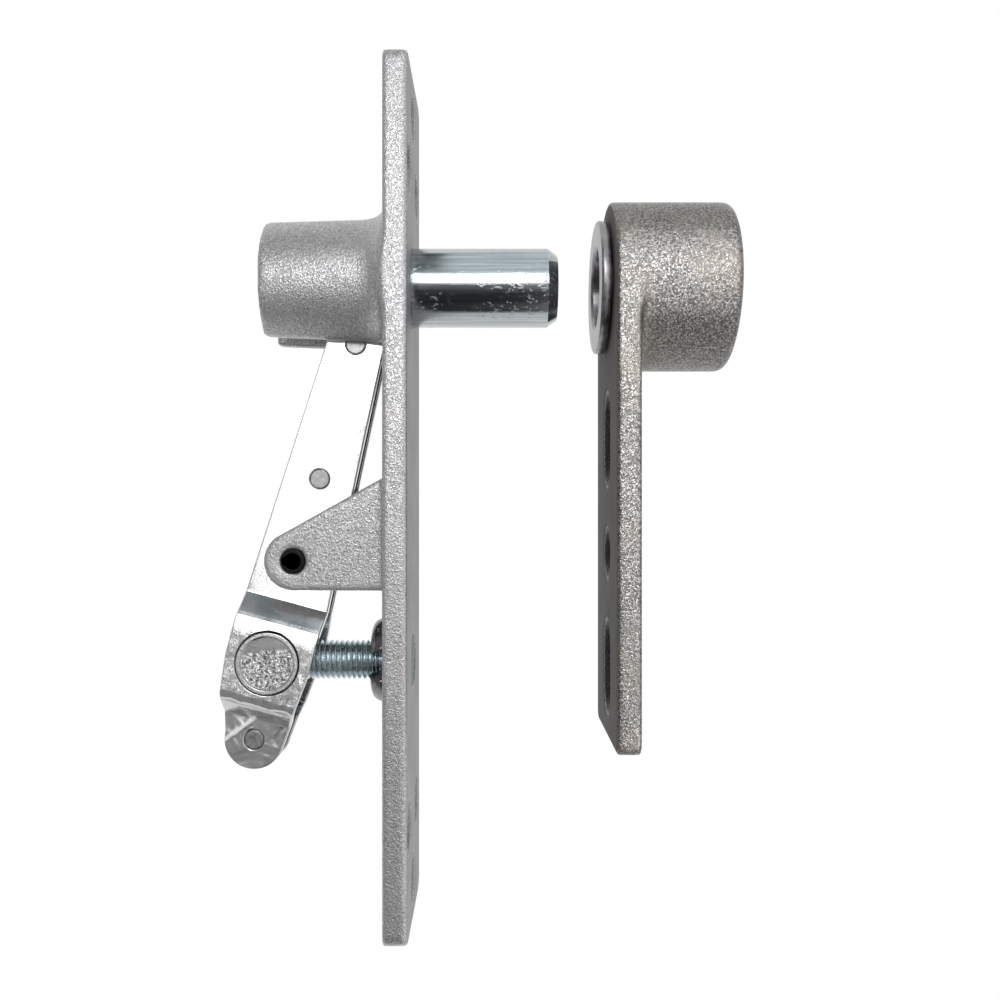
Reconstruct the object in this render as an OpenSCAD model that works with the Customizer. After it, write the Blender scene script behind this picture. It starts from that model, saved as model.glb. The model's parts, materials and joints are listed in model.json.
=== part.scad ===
/* [Frame leaf] */
// Length of the frame leaf's plate
frame_len = 171; // [160:0.5:200]
// Width of the frame leaf's plate
frame_w = 31.75; // [30:0.25:38]
// Thickness of the frame leaf's plate
frame_t = 4.76; // [4.4:0.1:6]
// Radius of the plate's corners
frame_corner_r = 2.5; // [1:0.5:6]
// Distance from the pivot axis to the plate's near end
frame_nose = 42.5; // [40:0.5:50]

/* [Frame boss] */
// Radius of the boss where it leaves the plate
boss_root_r = 13.7; // [12.5:0.1:14]
// Radius of the boss at its free end
boss_end_r = 13.0; // [12:0.1:13.5]
// Height of the boss's free end above the leaf's face
boss_top = 29; // [27:0.2:34]
// Radius of the fillet between boss and plate
boss_fillet = 4.2; // [1:0.1:5]
// Distance from the axis to the flat on the boss's beam side, at the plate
boss_flat_root = 12.1; // [11.5:0.1:13]
// Distance from the axis to that flat at the boss's free end
boss_flat_end = 10.9; // [10:0.1:12]

/* [Pivot pin] */
// Diameter of the pivot pin
pin_d = 15.875; // [14:0.125:17]
// How far the pin stands out of the leaf's face
pin_out = 29.3; // [26:0.1:31]
// Length of the chamfer on the pin's tip, along the pin
pin_tip_len = 1.95; // [1:0.05:3]
// Depth of the chamfer on the pin's tip, across the pin
pin_tip_in = 1.4; // [0.8:0.1:2]
// Diameter of the cross pin that the beam lifts
link_d = 4; // [3.5:0.1:4.5]

/* [Rocking beam] */
// Tilt of the beam with the pin fully out
beam_tilt = 15; // [13:0.5:16]
// Distance from the pivot axis to the fulcrum, along the plate
fulcrum_back = 55.4; // [52:0.2:60]
// Height of the fulcrum above the leaf's face
fulcrum_h = 22.9; // [22.8:0.1:24]
// Thickness of each beam plate
beam_t = 2; // [1.6:0.1:2.2]
// Clear gap between the two straight beam plates
beam_gap = 4.4; // [4.2:0.1:5]
// How far each plate is set outwards at the nut
bulge_out = 3.6; // [3.2:0.1:4]
// Half width of the beam round the cross pin
beam_end_r = 4.4; // [4.2:0.1:4.6]
// Distance from the fulcrum to the top rivet
top_rivet_at = 44.8; // [42:0.2:46]
// Distance from the fulcrum to the middle rivet
mid_rivet_at = 16.8; // [15:0.2:22]
// Distance from the fulcrum to the nut
nut_at = 21.0; // [20.5:0.1:22]
// Distance from the fulcrum to the tail rivet
tail_rivet_at = 37.2; // [36.5:0.2:40]
// How far the tail rivet stands nearer the plate than the beam's middle line
tail_drop = 0.8; // [0:0.1:1.2]
// Diameter of the rivets' ends
rivet_d = 3.9; // [3:0.1:4.2]
// Diameter of the fulcrum pin
fulcrum_d = 4.76; // [4:0.1:5.2]
// Bore of the fulcrum pin
fulcrum_bore = 2.8; // [2:0.1:3]

/* [Ears] */
// Clear gap between the ears
ear_gap = 9.5; // [9.2:0.1:10.5]
// Thickness of each ear
ear_t = 4.5; // [4:0.1:5]
// Radius of the ears' noses
ear_r = 5.8; // [5:0.1:6.2]
// Slant of the ears' upper edge, from the pivot axis
ear_slant = 29; // [24:1:34]

/* [Adjusting screw] */
// Diameter of the nut
nut_d = 12.4; // [12:0.1:12.6]
// Length of the nut
nut_len = 16; // [15.6:0.1:17]
// Outer diameter of the screw's thread
thread_d = 7.94; // [7.5:0.01:8.2]
// Distance from one thread turn to the next
thread_pitch = 1.058; // [0.9:0.001:1.3]
// Diameter of the screw's head
head_d = 10.6; // [10:0.1:11]
// Height of the screw's head
head_h = 2.4; // [2:0.1:2.8]
// Width of the slot in the screw's head
driver_w = 1.6; // [1.2:0.1:2]
// Diameter of the screw's neck behind the plate
neck_d = 6.4; // [5.8:0.1:6.5]
// Height of the screw's far end above the leaf's face
screw_top = 34.4; // [33:0.2:38]
// Outer diameter of the retaining ring
ring_d = 17.1; // [15:0.1:18]
// Height of the retaining ring's dome
ring_h = 2.2; // [1.8:0.1:2.8]

/* [Door leaf] */
// Overall length of the door leaf
door_len = 108.8; // [100:0.2:125]
// Diameter of the door leaf's boss, which is its plate's width
door_w = 33.8; // [33:0.1:38]
// Thickness of the door leaf's plate
door_t = 4.76; // [4.4:0.1:6]
// Height from the door leaf's face to its boss's end
door_h = 24.2; // [23.8:0.2:30]
// Rounding of the boss's end
door_round = 1.8; // [0.5:0.1:3]
// Radius of the fillet between boss and plate
door_fillet = 1.6; // [0.8:0.1:3]
// Distance between the two leaves' faces as shown
leaf_gap = 39.6; // [38:0.2:60]

/* [Bushing] */
// Outer diameter of the bushing's flange
flange_d = 26.6; // [25:0.1:30]
// Thickness of the bushing's flange
flange_t = 1.8; // [1.4:0.1:2.4]
// Gap between flange and leaf, kept open by a low shoulder
flange_gap = 0.6; // [0.4:0.1:1]
// Diameter of that shoulder
shoulder_d = 22; // [20:0.2:24]
// Outer diameter of the bushing's body
bush_d = 19.05; // [18.6:0.05:20]
// Length of the bushing's body inside the door leaf
bush_len = 23.4; // [18:0.2:25]

/* [Screw holes] */
// Diameter of the screw holes
hole_d = 5.6; // [5:0.1:6.4]
// Diameter of the countersinks
sink_d = 10.8; // [10:0.1:11.4]
// Distance from each end of the frame plate to its end hole
end_hole_in = 7.7; // [7:0.1:9]
// Distance from each end of the frame plate to its pair of holes
pair_in = 21; // [20:0.5:24]
// Distance between the holes of a pair
pair_w = 18; // [17:0.2:18.5]
// Width of the door leaf's holes
door_hole_d = 6.6; // [5.5:0.1:7]
// Width of the door leaf's countersinks
door_sink_d = 11; // [10:0.1:12]
// Distance from the pivot axis to the door leaf's first slot
door_hole_1 = 31; // [30:0.5:33]
// Distance between the door leaf's holes
door_hole_step = 23.2; // [22:0.2:24]
// Straight length of the door leaf's slots
door_slot_run = 9; // [6:0.5:9.5]

/* [Fits] */
// Radial clearance of turning and sliding fits
run_fit = 0.05; // [0.03:0.01:0.08]
// Radial clearance of pieces that are driven in
tight_fit = 0.01; // [0.01:0.005:0.02]
// Clearance beside the beam, each side
beam_play = 0.3; // [0.25:0.05:0.4]
// Radial clearance of the screw in the plate
screw_play = 0.15; // [0.1:0.05:0.3]

/* [Hidden] */
fine = 96;
medium = 48;
small = 32;
eps = 0.01;
// How far a cut runs past the face it opens, and a length beyond the whole hinge's width.
over = 1;
far = 60;

cast_colour = [0.66, 0.66, 0.65];
door_colour = [0.58, 0.56, 0.52];
zinc_colour = [0.82, 0.84, 0.86];
steel_colour = [0.70, 0.72, 0.75];
dark_colour = [0.20, 0.20, 0.22];
thread_colour = [0.62, 0.68, 0.74];

pin_r = pin_d / 2;
bore_r = pin_r + run_fit;
tail_end = frame_nose - frame_len;
beam_out = beam_gap / 2 + beam_t;
slot_play = 0.55;
slot_half = beam_out + slot_play;
bore_chamfer = 0.6;
// How far the boss and its fillet reach from the axis.
boss_reach = boss_root_r + boss_fillet + over;

// The link is where the beam meets the pin, on the pivot axis.
link_h = fulcrum_h - fulcrum_back * tan(beam_tilt);
link_far = fulcrum_back / cos(beam_tilt);
link_play = 0.2;
link_slot_r = link_d / 2 + link_play;
link_short = 0.15;
// Half width of the beam where its sides are straight.
beam_half_top = 5.75;
beam_half_mid = 7.2;
beam_half_fulcrum = 8.05;
beam_half_nut = 8.5;
beam_half_bulge_end = 7.6;
beam_half_tail = 6;

// The fork in the pin's inner end, open to the beam.
fork_over = 6.4;
fork_chamfer = 0.8;
fork_top = link_h + fork_over;
fork_half = beam_out + beam_play;
fork_floor = link_h - beam_end_r - 2 * beam_play;
// Its floor drops beside the beam's lower edge, which slants most with the pin drawn in.
edge_taper = (beam_half_top - beam_end_r) / (link_far - top_rivet_at);
edge_at = (pin_r + beam_end_r * sin(beam_tilt)) / (cos(beam_tilt) - edge_taper * sin(beam_tilt));
edge_half = beam_end_r + edge_taper * edge_at;
fork_low = link_h - edge_at * sin(beam_tilt) - edge_half * cos(beam_tilt) - beam_play;
fork_slope = tan(beam_tilt + atan(edge_taper));

// The slot's floor lies under the beam's lower edge, where that edge enters the bore.
slot_clear = 1;
entry_at = (bore_r - beam_end_r * sin(beam_tilt)) / (cos(beam_tilt) + edge_taper * sin(beam_tilt));
entry_half = beam_end_r + edge_taper * entry_at;
slot_floor = link_h + entry_at * sin(beam_tilt) - entry_half * cos(beam_tilt) - slot_clear;

// Where the beam plates bend, measured from the fulcrum towards the tail.
bend_1 = 8.9;
bend_2 = 14;
nut_margin = 2;
bend_run = 3.5;
bend_3 = nut_at + nut_d / 2 + nut_margin;
bend_4 = bend_3 + bend_run;
bend_steps = 6;
// The middle line of one bent plate, from its tail, and the radius of each bend.
strip_mid = (beam_gap + beam_t) / 2;
strip_path = [
  [-tail_rivet_at - beam_half_tail - over, strip_mid], [-bend_4, strip_mid],
  [-bend_3, strip_mid + bulge_out], [-bend_2, strip_mid + bulge_out],
  [-bend_1, strip_mid], [link_far + beam_end_r + over, strip_mid]
];
bend_radii = [1.4, 2.4, 7, 1.8];

// The screw stands midway between the ends of the arc on which the nut travels.
nut_arc_mid = nut_at * (1 + cos(beam_tilt)) / 2;
screw_x = -fulcrum_back - nut_arc_mid;
nut_x = -fulcrum_back - nut_at * cos(beam_tilt);
nut_h = fulcrum_h + nut_at * sin(beam_tilt);
thread_root_r = thread_d / 2 - 0.54 * thread_pitch;
shank_r = thread_d / 2;
thread_tip = 0.8;
head_inset = 0.2;
head_recess_h = head_h + 2 * head_inset;
driver_depth = 1.3;
ring_lift = 0.3;
ring_web = 1.2;
neck_spare = 0.4;
neck_h = ring_lift + ring_web + neck_spare;
ring_thread_gap = 0.4;
ring_mouth = 0.92;

sink_slope = 1.1;
rivet_collar = 1.1;
slit_w = 0.7;
fulcrum_proud = 0.1;
nut_rim = 0.9;
nut_hollow = 0.6;

door_face = -leaf_gap;
door_r = door_w / 2;
door_tail = door_r - door_len;
bush_r = bush_d / 2;
shoulder_lift = 0.1;
flange_chamfer = 0.3;
bush_chamfer = 0.5;

// A round rod from height a to height b.
module rod(r, a, b, facets = medium) {
  translate([0, 0, a]) cylinder(r = r, h = b - a, $fn = facets);
}

// A ring that fills the corner between a boss and the surface it stands on.
module root_fillet(at_r, r) {
  rotate_extrude($fn = fine)
    difference() {
      translate([at_r - over, 0]) square([r + over, r]);
      translate([at_r + r, r]) circle(r = r, $fn = small);
    }
}

// A countersunk screw hole that enters from the face at height 0, going up.
module screw_hole(t, d, sink) {
  sink_depth = (sink - d) / 2 * sink_slope;
  rod(d / 2, -over, t + over);
  translate([0, 0, -eps]) cylinder(r1 = sink / 2, r2 = d / 2, h = sink_depth, $fn = medium);
}

// An outline with round corners, as a plate lying on the XY plane.
module rounded_plate(x0, x1, w, t, r) {
  linear_extrude(t)
    union() {
      translate([x0 + r, -w / 2]) square([x1 - x0 - 2 * r, w]);
      translate([x0, -w / 2 + r]) square([x1 - x0, w - 2 * r]);
      for (x = [x0 + r, x1 - r], y = [-w / 2 + r, w / 2 - r])
        translate([x, y]) circle(r = r, $fn = small);
    }
}

// Holds its children in the beam's own plane: x towards the pivot pin, y away from the plate.
module on_beam(y0, y1) {
  translate([-fulcrum_back, 0, fulcrum_h])
    rotate([0, beam_tilt, 0])
      translate([0, y1, 0])
        rotate([90, 0, 0]) linear_extrude(y1 - y0) children();
}

// A round bar across the beam, at a distance from the fulcrum, dropped towards the plate.
module cross_bar(at, r, y0, y1, facets = medium, drop = 0) {
  translate([-fulcrum_back, 0, fulcrum_h])
    rotate([0, beam_tilt, 0])
      translate([at, y1, -drop])
        rotate([90, 0, 0]) cylinder(r = r, h = y1 - y0, $fn = facets);
}

// One ear, from its foot on the plate to its round nose.
module ear_outline() {
  foot_h = frame_t - over;
  touch = [-fulcrum_back + ear_r * cos(ear_slant), fulcrum_h + ear_r * sin(ear_slant)];
  polygon([
    [-fulcrum_back - ear_r, foot_h], [-fulcrum_back - ear_r, fulcrum_h],
    [-fulcrum_back, fulcrum_h], touch,
    [touch[0] + (touch[1] - foot_h) * tan(ear_slant), foot_h]
  ]);
  translate([-fulcrum_back, fulcrum_h]) circle(r = ear_r, $fn = medium);
}

module ear(side) {
  y0 = side > 0 ? ear_gap / 2 : -ear_gap / 2 - ear_t;
  translate([0, y0 + ear_t, 0])
    rotate([90, 0, 0]) linear_extrude(ear_t) ear_outline();
}

module frame_casting() {
  color(cast_colour)
    difference() {
      union() {
        rounded_plate(tail_end, frame_nose, frame_w, frame_t, frame_corner_r);
        translate([0, 0, frame_t - eps])
          cylinder(r1 = boss_root_r, r2 = boss_end_r, h = boss_top - frame_t + eps, $fn = fine);
        // fillet round the boss, trimmed to the plate's width
        intersection() {
          translate([0, 0, frame_t]) root_fillet(boss_root_r, boss_fillet);
          translate([-far, -frame_w / 2, 0]) cube([2 * far, frame_w, far]);
        }
        for (side = [-1, 1]) ear(side);
      }
      // bore for the pin
      rod(bore_r, -over, boss_top + over, fine);
      // chamfer where the pin leaves the face
      translate([0, 0, -eps])
        cylinder(r1 = bore_r + bore_chamfer, r2 = bore_r, h = bore_chamfer, $fn = fine);
      // slot in which the beam swings
      translate([-boss_reach, -slot_half, slot_floor]) cube([boss_reach, 2 * slot_half, far]);
      // slanting flat on the boss's beam side
      translate([0, far / 2, 0])
        rotate([90, 0, 0]) linear_extrude(far)
          polygon([
            [-boss_reach, frame_t], [-boss_flat_root, frame_t],
            [-boss_flat_end, boss_top], [-boss_flat_end, boss_top + over],
            [-boss_reach, boss_top + over]
          ]);
      // hole for the fulcrum pin
      translate([-fulcrum_back, far / 2, fulcrum_h])
        rotate([90, 0, 0]) cylinder(r = fulcrum_d / 2 + tight_fit, h = far, $fn = medium);
      // holes for the adjusting screw's shank and head
      translate([screw_x, 0, 0]) {
        rod(shank_r + screw_play, -over, frame_t + over);
        rod(head_d / 2 + screw_play, -over, head_recess_h);
      }
      // mounting screws
      for (x = [frame_nose - end_hole_in, tail_end + end_hole_in])
        translate([x, 0, 0]) screw_hole(frame_t, hole_d, sink_d);
      for (x = [frame_nose - pair_in, tail_end + pair_in], y = [-pair_w / 2, pair_w / 2])
        translate([x, y, 0]) screw_hole(frame_t, hole_d, sink_d);
    }
}

module pivot_pin() {
  color(steel_colour)
    difference() {
      union() {
        rod(pin_r, pin_tip_len - pin_out, fork_top - fork_chamfer, fine);
        translate([0, 0, -pin_out])
          cylinder(r1 = pin_r - pin_tip_in, r2 = pin_r, h = pin_tip_len, $fn = fine);
        translate([0, 0, fork_top - fork_chamfer])
          cylinder(r1 = pin_r, r2 = pin_r - fork_chamfer, h = fork_chamfer, $fn = fine);
      }
      // fork that takes the beam's end; its floor drops towards the fulcrum
      translate([0, fork_half, 0])
        rotate([90, 0, 0]) linear_extrude(2 * fork_half)
          polygon([
            [-pin_r - over, fork_low - fork_slope * over],
            [-pin_r + (fork_floor - fork_low) / fork_slope, fork_floor],
            [pin_r + over, fork_floor], [pin_r + over, fork_top + over],
            [-pin_r - over, fork_top + over]
          ]);
      // hole for the cross pin
      translate([0, far / 2, link_h])
        rotate([90, 0, 0]) cylinder(r = link_d / 2 + tight_fit, h = far, $fn = small);
    }
}

module pin_cross_pin() {
  half = sqrt(pow(pin_r, 2) - pow(link_d / 2, 2)) - link_short;
  color(zinc_colour)
    translate([0, half, link_h])
      rotate([90, 0, 0]) cylinder(r = link_d / 2, h = 2 * half, $fn = small);
}

// The beam's outline between its round ends, in its own plane, widest round the nut.
module beam_sides() {
  polygon([
    [link_far, -beam_end_r + eps], [top_rivet_at, -beam_half_top],
    [mid_rivet_at, -beam_half_mid], [0, -beam_half_fulcrum],
    [-bend_1, -beam_half_nut], [-nut_at, -beam_half_nut], [-bend_3, -beam_half_bulge_end],
    [-tail_rivet_at, -tail_drop - beam_half_tail + eps],
    [-tail_rivet_at, -tail_drop + beam_half_tail - eps],
    [-bend_3, beam_half_bulge_end], [-nut_at, beam_half_nut], [-bend_1, beam_half_nut],
    [0, beam_half_fulcrum], [mid_rivet_at, beam_half_mid],
    [top_rivet_at, beam_half_top], [link_far, beam_end_r - eps]
  ]);
}

// Direction in which the strip runs on from a corner of its middle line.
function strip_angle(i) =
  let (run = strip_path[i + 1] - strip_path[i]) atan2(run[1], run[0]);

// One face of the strip, at a distance from its middle line, with every bend rounded.
function strip_face(off) = [
  for (i = [1:4], k = [0:bend_steps])
    let (
      from = strip_angle(i - 1), turn = strip_angle(i) - from,
      r = bend_radii[i - 1], side = sign(turn),
      start = strip_path[i] - r * tan(abs(turn) / 2) * [cos(from), sin(from)],
      centre = start + side * r * [-sin(from), cos(from)],
      at = from + turn * k / bend_steps
    )
    centre + (off - side * r) * [-sin(at), cos(at)]
];

// The bent strip that one beam plate is pressed to, seen along the beam's width.
module beam_bend() {
  inner = strip_face(-beam_t / 2);
  outer = strip_face(beam_t / 2);
  half = [0, beam_t / 2];
  last = len(outer) - 1;
  polygon(concat(
    [strip_path[0] - half], inner, [strip_path[5] - half, strip_path[5] + half],
    [for (i = [0:last]) outer[last - i]], [strip_path[0] + half]
  ));
}

module beam_plate(side) {
  color(zinc_colour)
    difference() {
      intersection() {
        union() {
          on_beam(-far / 2, far / 2) beam_sides();
          cross_bar(link_far, beam_end_r, -far / 2, far / 2);
          cross_bar(-tail_rivet_at, beam_half_tail, -far / 2, far / 2, drop = tail_drop);
        }
        translate([-fulcrum_back, 0, fulcrum_h])
          rotate([0, beam_tilt, 0])
            translate([0, 0, -far / 2])
              linear_extrude(far) scale([1, side]) beam_bend();
      }
      // slot for the cross pin, long enough for the beam's swing
      for (at = [fulcrum_back, link_far]) cross_bar(at, link_slot_r, -far / 2, far / 2, small);
      on_beam(-far / 2, far / 2)
        translate([fulcrum_back, -link_slot_r]) square([link_far - fulcrum_back, 2 * link_slot_r]);
      for (at = [top_rivet_at, mid_rivet_at])
        cross_bar(at, rivet_d / 2 + tight_fit, -far / 2, far / 2, small);
      cross_bar(-tail_rivet_at, rivet_d / 2 + tight_fit, -far / 2, far / 2, small, tail_drop);
      cross_bar(0, fulcrum_d / 2 + run_fit, -far / 2, far / 2);
      cross_bar(-nut_at, nut_d / 2 + run_fit, -far / 2, far / 2);
    }
}

module beam_plate_near() {
  beam_plate(-1);
}

module beam_plate_far() {
  beam_plate(1);
}

// A rivet with a thicker middle that keeps the beam plates apart.
module beam_rivet(at, drop = 0) {
  half = beam_gap / 2;
  end = half + beam_t;
  color(steel_colour)
    union() {
      cross_bar(at, rivet_d / 2, -end, end, small, drop);
      cross_bar(at, rivet_d / 2 + rivet_collar, -half, half, small, drop);
    }
}

module beam_rivet_top() {
  beam_rivet(top_rivet_at);
}

module beam_rivet_middle() {
  beam_rivet(mid_rivet_at);
}

module beam_rivet_tail() {
  beam_rivet(-tail_rivet_at, tail_drop);
}

// A hollow pin with a slit along its side, held in the ears.
module fulcrum_pin() {
  half = ear_gap / 2 + ear_t + fulcrum_proud;
  color(dark_colour)
    difference() {
      cross_bar(0, fulcrum_d / 2, -half, half);
      cross_bar(0, fulcrum_bore / 2, -far, far, small);
      translate([-fulcrum_back - slit_w / 2, -far, fulcrum_h]) cube([slit_w, 2 * far, fulcrum_d]);
    }
}

module trunnion_nut() {
  color(zinc_colour)
    difference() {
      translate([nut_x, nut_len / 2, nut_h])
        rotate([90, 0, 0]) cylinder(r = nut_d / 2, h = nut_len, $fn = medium);
      translate([nut_x, 0, 0]) rod(thread_d / 2, nut_h - nut_d, nut_h + nut_d);
      // shallow hollows in the two ends
      for (side = [-1, 1])
        translate([nut_x, side * (nut_len / 2 + over), nut_h])
          rotate([90, 0, 0])
            cylinder(r = nut_d / 2 - nut_rim, h = 2 * (nut_hollow + over), center = true, $fn = medium);
    }
}

module adjusting_screw() {
  head_top = head_inset + head_h;
  neck_from = frame_t + screw_play;
  tip_from = screw_top - thread_tip;
  color(thread_colour)
    translate([screw_x, 0, 0])
      difference() {
        union() {
          rod(head_d / 2, head_inset, head_top);
          rod(shank_r, head_top - eps, neck_from);
          rod(neck_d / 2, neck_from - eps, frame_t + neck_h);
          rod(thread_root_r, frame_t + neck_h - eps, tip_from);
          translate([0, 0, tip_from - eps])
            cylinder(r1 = thread_root_r, r2 = thread_root_r - thread_tip, h = thread_tip, $fn = medium);
        }
        translate([-head_d, -driver_w / 2, head_inset - over])
          cube([2 * head_d, driver_w, driver_depth + over]);
      }
}

// A domed ring with an open side, pushed onto the screw's neck, which keeps the screw in the plate.
module screw_retaining_ring() {
  inner = neck_d / 2 + tight_fit;
  outer = ring_d / 2;
  dome_in = shank_r + ring_thread_gap;
  dome_half = (outer - dome_in) / 2;
  mouth = neck_d * ring_mouth;
  color(dark_colour)
    translate([screw_x, 0, frame_t + ring_lift])
      difference() {
        rotate_extrude($fn = fine)
          union() {
            translate([inner, 0]) square([dome_in + dome_half - inner, ring_web]);
            translate([dome_in + dome_half, 0])
              polygon([for (a = [0:15:180]) [dome_half * cos(a), ring_h * sin(a)]]);
          }
        translate([-mouth / 2, -far, -over]) cube([mouth, far, ring_h + 2 * over]);
      }
}

module door_hole(run) {
  sink_depth = (door_sink_d - door_hole_d) / 2 * sink_slope;
  for (x = [-run / 2, run / 2])
    translate([x, 0, 0]) {
      rod(door_hole_d / 2, -door_t - over, over);
      translate([0, 0, eps - sink_depth])
        cylinder(r1 = door_hole_d / 2, r2 = door_sink_d / 2, h = sink_depth, $fn = medium);
    }
  if (run > 0) {
    translate([-run / 2, -door_hole_d / 2, -door_t - over])
      cube([run, door_hole_d, door_t + 2 * over]);
    translate([-run / 2, 0, eps])
      rotate([90, 0, 90]) linear_extrude(run)
        polygon([
          [-door_hole_d / 2, -sink_depth], [door_hole_d / 2, -sink_depth],
          [door_sink_d / 2, 0], [-door_sink_d / 2, 0]
        ]);
  }
}

module door_casting() {
  color(door_colour)
    translate([0, 0, door_face])
      difference() {
        union() {
          translate([0, 0, -door_t]) {
            rounded_plate(door_tail, 0, door_w, door_t, frame_corner_r);
            translate([-door_r, -door_r, 0]) cube([door_r, door_w, door_t]);
          }
          // fillet between boss and plate, trimmed to the plate
          intersection() {
            mirror([0, 0, 1]) translate([0, 0, door_t]) root_fillet(door_r, door_fillet);
            translate([-far, -door_r, -far]) cube([far, door_w, far]);
          }
          // boss with a rounded end
          rotate_extrude($fn = fine)
            union() {
              translate([0, -door_h]) square([door_r - door_round, door_h]);
              translate([0, -door_h + door_round]) square([door_r, door_h - door_round]);
              translate([door_r - door_round, -door_h + door_round]) circle(r = door_round, $fn = small);
            }
        }
        rod(bush_r + run_fit, -door_h - over, over, fine);
        for (i = [0:2])
          translate([-door_hole_1 - i * door_hole_step, 0, 0]) door_hole(i == 1 ? 0 : door_slot_run);
      }
}

module door_bushing() {
  flange_from = door_face + flange_gap;
  color(dark_colour)
    difference() {
      union() {
        rod(bush_r, door_face - bush_len, flange_from, fine);
        rod(shoulder_d / 2, door_face + shoulder_lift, flange_from + eps, fine);
        rotate_extrude($fn = fine)
          polygon([
            [0, flange_from], [flange_d / 2, flange_from],
            [flange_d / 2, flange_from + flange_t - flange_chamfer],
            [flange_d / 2 - flange_chamfer, flange_from + flange_t], [0, flange_from + flange_t]
          ]);
      }
      rod(bore_r, door_face - bush_len - over, far, fine);
      translate([0, 0, flange_from + flange_t - bush_chamfer + eps])
        cylinder(r1 = bore_r, r2 = bore_r + bush_chamfer, h = bush_chamfer, $fn = fine);
    }
}

frame_casting();
pivot_pin();
pin_cross_pin();
beam_plate_near();
beam_plate_far();
beam_rivet_top();
beam_rivet_middle();
beam_rivet_tail();
fulcrum_pin();
trunnion_nut();
adjusting_screw();
screw_retaining_ring();
door_casting();
door_bushing();
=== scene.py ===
"""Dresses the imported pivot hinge: finishes for each solid, a threaded adjusting screw and the stage."""

import json
import math
from typing import NamedTuple

import bmesh
import bpy
from bpy.props import FloatProperty, FloatVectorProperty, IntProperty, PointerProperty
from mathutils import Matrix, Vector

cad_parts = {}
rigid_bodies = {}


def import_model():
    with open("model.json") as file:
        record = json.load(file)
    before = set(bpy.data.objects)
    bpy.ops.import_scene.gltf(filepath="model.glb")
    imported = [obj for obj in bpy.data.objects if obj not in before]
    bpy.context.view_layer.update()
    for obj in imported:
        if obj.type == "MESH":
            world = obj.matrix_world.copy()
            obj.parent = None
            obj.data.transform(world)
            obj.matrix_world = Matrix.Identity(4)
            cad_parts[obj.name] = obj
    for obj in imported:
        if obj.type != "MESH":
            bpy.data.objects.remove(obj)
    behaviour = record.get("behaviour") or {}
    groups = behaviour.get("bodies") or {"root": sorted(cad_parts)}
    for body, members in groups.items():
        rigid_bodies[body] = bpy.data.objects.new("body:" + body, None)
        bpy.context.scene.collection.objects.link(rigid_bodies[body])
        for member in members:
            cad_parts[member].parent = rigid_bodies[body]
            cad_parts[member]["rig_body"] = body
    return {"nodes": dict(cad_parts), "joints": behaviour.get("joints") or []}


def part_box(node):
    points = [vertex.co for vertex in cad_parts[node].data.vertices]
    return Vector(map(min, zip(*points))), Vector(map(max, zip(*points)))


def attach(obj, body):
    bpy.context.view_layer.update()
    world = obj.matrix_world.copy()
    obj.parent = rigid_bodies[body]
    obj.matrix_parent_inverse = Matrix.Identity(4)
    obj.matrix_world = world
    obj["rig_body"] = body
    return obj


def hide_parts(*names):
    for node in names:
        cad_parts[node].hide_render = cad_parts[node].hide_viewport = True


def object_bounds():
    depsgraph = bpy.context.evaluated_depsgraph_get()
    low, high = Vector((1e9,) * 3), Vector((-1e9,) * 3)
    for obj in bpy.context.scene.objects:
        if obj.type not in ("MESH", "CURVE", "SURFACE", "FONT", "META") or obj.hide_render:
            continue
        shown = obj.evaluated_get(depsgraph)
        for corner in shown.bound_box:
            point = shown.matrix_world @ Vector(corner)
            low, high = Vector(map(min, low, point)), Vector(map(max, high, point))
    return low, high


bl_info = {
    "name": "Pivot Hinge",
    "version": (1, 0, 0),
    "blender": (4, 5, 0),
    "location": "3D View > Sidebar > Hinge",
    "description": "Finishes, thread and stage for a retractable top pivot hinge",
    "category": "Object",
}

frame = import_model()
CAD_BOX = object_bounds()
JOINTS = {joint["name"]: joint for joint in frame["joints"]}
FULCRUM = Vector(JOINTS["beam_swing"]["pos_m"])
NUT = Vector(JOINTS["nut_swivel"]["pos_m"])
SCREW_X = JOINTS["screw_turn"]["pos_m"][0]
ALONG_BEAM = (FULCRUM - NUT).normalized()
ACROSS_BEAM = Vector((-ALONG_BEAM.z, 0, ALONG_BEAM.x))
PLATE_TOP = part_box("screw_retaining_ring")[0].z - 0.0003
LEAF_T = 0.00476


def length(name, description, default, low, high):
    """A size in metres that a user may change."""
    return FloatProperty(
        name=name,
        description=description,
        default=default,
        min=low,
        max=high,
        unit="LENGTH",
        precision=5,
    )


def tone(name, description, default):
    """A surface colour that a user may change."""
    return FloatVectorProperty(
        name=name,
        description=description,
        default=default,
        min=0,
        max=1,
        subtype="COLOR",
    )


class HingeSizes(bpy.types.PropertyGroup):
    """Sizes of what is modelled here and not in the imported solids."""

    thread_r: length(
        "Thread radius", "Outer radius of the adjusting screw's thread", 0.00397, 0.003, 0.0045
    )
    root_r: length(
        "Thread root radius", "Radius at the bottom of the thread", 0.0034, 0.0025, 0.0039
    )
    neck_r: length("Neck radius", "Radius of the screw's neck", 0.0032, 0.0028, 0.0033)
    neck_len: length("Neck length", "From the plate to the first thread turn", 0.0019, 0.0015, 0.004)
    dome: length("Ring height", "Height of the retaining ring's dome", 0.0031, 0.002, 0.0035)
    pitch: length("Thread pitch", "Distance between two thread turns", 0.001058, 0.0008, 0.0014)
    skin: length("Casting mesh", "Edge length of the castings' mesh", 0.0005, 0.00045, 0.001)
    machined_edge: length("Machined edges", "Rounding of turned edges", 0.00025, 0.0001, 0.0005)
    sheet_edge: length("Sheet edges", "Rounding of the pressed plates", 0.00035, 0.0001, 0.0006)
    grain: length("Casting grain", "Depth of the blasted grain", 0.00016, 0, 0.0004)


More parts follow.
